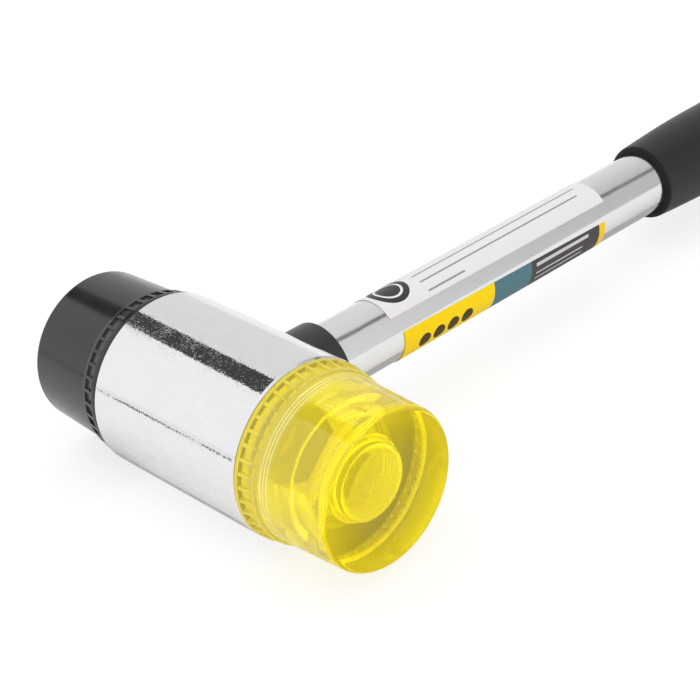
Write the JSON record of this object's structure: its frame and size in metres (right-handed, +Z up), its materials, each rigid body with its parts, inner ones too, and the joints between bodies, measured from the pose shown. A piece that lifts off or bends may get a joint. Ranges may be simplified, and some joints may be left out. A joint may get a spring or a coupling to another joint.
{
  "type": "soft face hammer",
  "caption": "Soft face hammer with a chromed steel barrel, screw-in clear yellow and black faces, a steel tube handle and a moulded grip.",
  "frame": {"origin": "middle of the bounding box, on the floor that the hammer lies on", "axes": "+X along the head axis towards the yellow face, +Y along the handle towards the butt, +Z up; the hammer lies on its side, so the handle runs down by about 1.6 degrees to the grip"},
  "size_m": [0.0934, 0.267, 0.04],
  "materials": {
    "chromed_steel": "bright plated steel with fine plating specks",
    "clear_yellow_plastic": "clear tinted plastic, polished by the mould",
    "black_face_plastic": "hard black rubber, satin",
    "washer_rubber": "pale natural rubber",
    "pin_steel": "dark spring steel",
    "collar_plastic": "smooth moulded plastic",
    "grip_rubber": "satin dipped rubber",
    "white_sticker": "printed white film",
    "colour_sticker": "printed film in yellow, teal and dark grey blocks"
  },
  "bodies": {
    "hammer": {"head_body": "chromed_steel", "handle_tube": "chromed_steel", "handle_pin": "pin_steel", "handle_collar": "collar_plastic", "hand_grip": "grip_rubber", "white_label": "white_sticker", "colour_label": "colour_sticker"},
    "yellow_washer": {"yellow_face_washer": "washer_rubber"},
    "yellow_face": {"yellow_face": "clear_yellow_plastic"},
    "black_washer": {"black_face_washer": "washer_rubber"},
    "black_face": {"black_face": "black_face_plastic"}
  },
  "joints": [
    {"name": "yellow_face_slide", "type": "slide", "parent": "hammer", "child": "yellow_washer", "axis": [1, 0, 0], "range_m": [0, 0.012]},
    {"name": "yellow_face_turn", "type": "hinge", "parent": "yellow_washer", "child": "yellow_face", "pos_m": [0.0225, -0.11351, 0.02], "axis": [1, 0, 0], "range_deg": [0, 1440]},
    {"name": "black_face_slide", "type": "slide", "parent": "hammer", "child": "black_washer", "axis": [-1, 0, 0], "range_m": [0, 0.012]},
    {"name": "black_face_turn", "type": "hinge", "parent": "black_washer", "child": "black_face", "pos_m": [-0.0225, -0.11351, 0.02], "axis": [-1, 0, 0], "range_deg": [0, 1440]}
  ],
  "couplings": [
    {"joint": "yellow_face_slide", "follows": "yellow_face_turn", "m_per_rad": 0.00047746},
    {"joint": "black_face_slide", "follows": "black_face_turn", "m_per_rad": 0.00047746}
  ]
}
